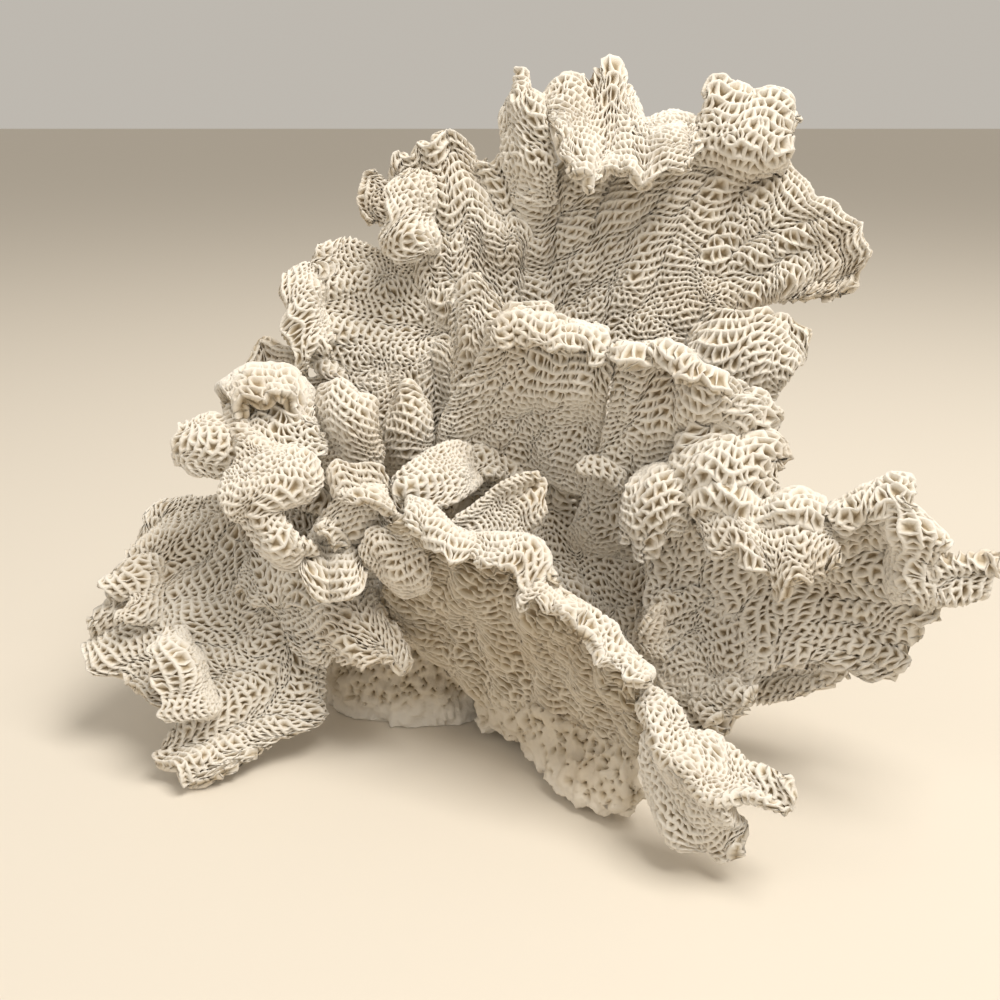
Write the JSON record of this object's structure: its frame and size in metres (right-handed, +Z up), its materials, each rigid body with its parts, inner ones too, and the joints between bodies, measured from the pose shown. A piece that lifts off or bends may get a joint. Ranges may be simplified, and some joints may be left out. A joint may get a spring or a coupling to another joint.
{
  "type": "lettuce coral",
  "caption": "Dried lettuce coral colony with thin ruffled upright fans covered in a network of fine ridges, cut flat at the foot so that it stands as a display piece.",
  "frame": {"origin": "middle of the flat cut at the foot of the stock", "axes": "+Z up from the cut, +X to the right along the widest spread of the fans, -Y towards the viewer"},
  "size_m": [0.3626, 0.2082, 0.2791],
  "materials": {
    "coral_skeleton": "matte",
    "coral_rock": "matte"
  },
  "bodies": {
    "root": {"back_fan": "coral_skeleton", "centre_fan": "coral_skeleton", "centre_right_fan": "coral_skeleton", "centre_wall": "coral_skeleton", "cup_lobe": "coral_skeleton", "far_left_frond": "coral_skeleton", "front_fan": "coral_skeleton", "front_keel": "coral_skeleton", "front_tip": "coral_skeleton", "inner_front_frond": "coral_skeleton", "inner_knob": "coral_skeleton", "inner_left_frond": "coral_skeleton", "inner_slant_frond": "coral_skeleton", "inner_thin_frond": "coral_skeleton", "left_fan": "coral_skeleton", "left_limb": "coral_skeleton", "left_lobe": "coral_skeleton", "lower_left_fan": "coral_skeleton", "lower_lip": "coral_skeleton", "middle_lip": "coral_skeleton", "rear_high_frond": "coral_skeleton", "rear_low_fan": "coral_skeleton", "rear_right_frond": "coral_skeleton", "ribbon_frond": "coral_skeleton", "right_buttress": "coral_skeleton", "right_fan": "coral_skeleton", "right_lower_fan": "coral_skeleton", "right_stem": "coral_skeleton", "stock": "coral_rock", "upper_left_fan": "coral_skeleton"}
  },
  "joints": []
}
